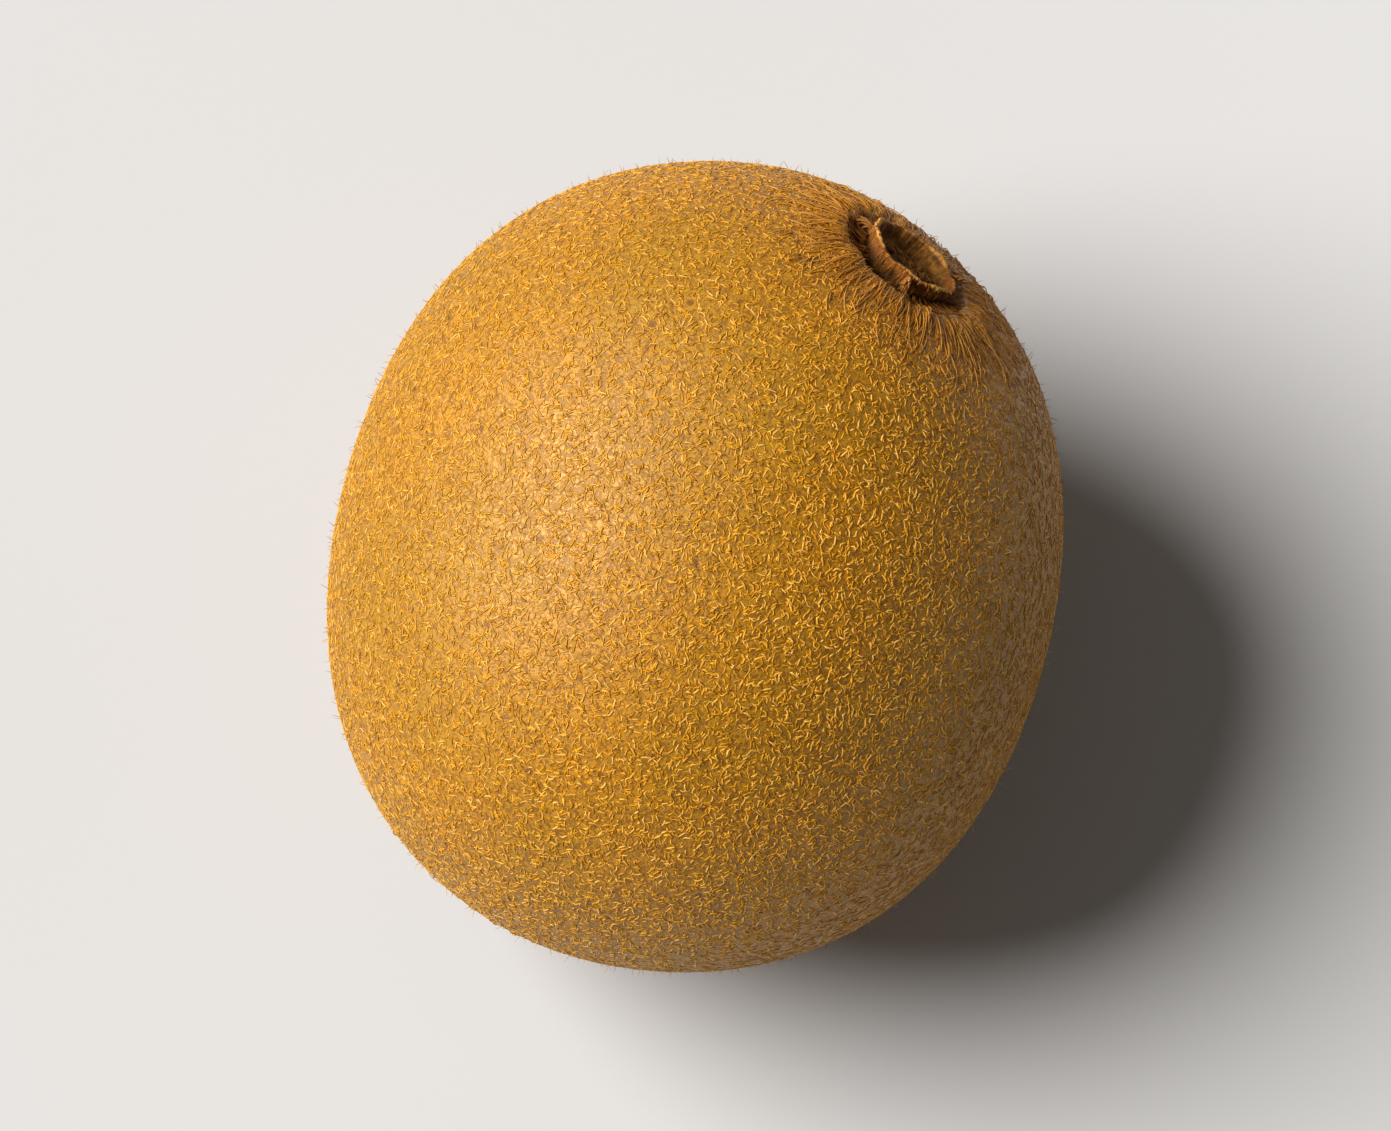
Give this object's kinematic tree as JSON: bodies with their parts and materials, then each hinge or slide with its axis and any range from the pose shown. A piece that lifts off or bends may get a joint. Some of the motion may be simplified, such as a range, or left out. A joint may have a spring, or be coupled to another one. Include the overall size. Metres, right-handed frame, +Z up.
{
  "type": "golden kiwi fruit",
  "caption": "Whole golden kiwi fruit lying on its side, with a sunken woody stalk ring at one end and dried styles at the other.",
  "frame": {"origin": "under the middle of the fruit's bounding box, on the surface that it lies on", "axes": "+X along the fruit's long axis in plan, towards the stalk end; +Z up, away from the flat spot that it rests on"},
  "size_m": [0.0598, 0.0532, 0.0515],
  "materials": {
    "berry": "golden-brown skin under short matted fuzz, dull with a soft sheen",
    "stalk_ring": "dry corky tan-brown, rough",
    "dried_styles": "dry dark brown, rough"
  },
  "bodies": {
    "root": {"berry": "berry", "stalk_ring": "stalk_ring", "dried_styles": "dried_styles"}
  },
  "joints": []
}
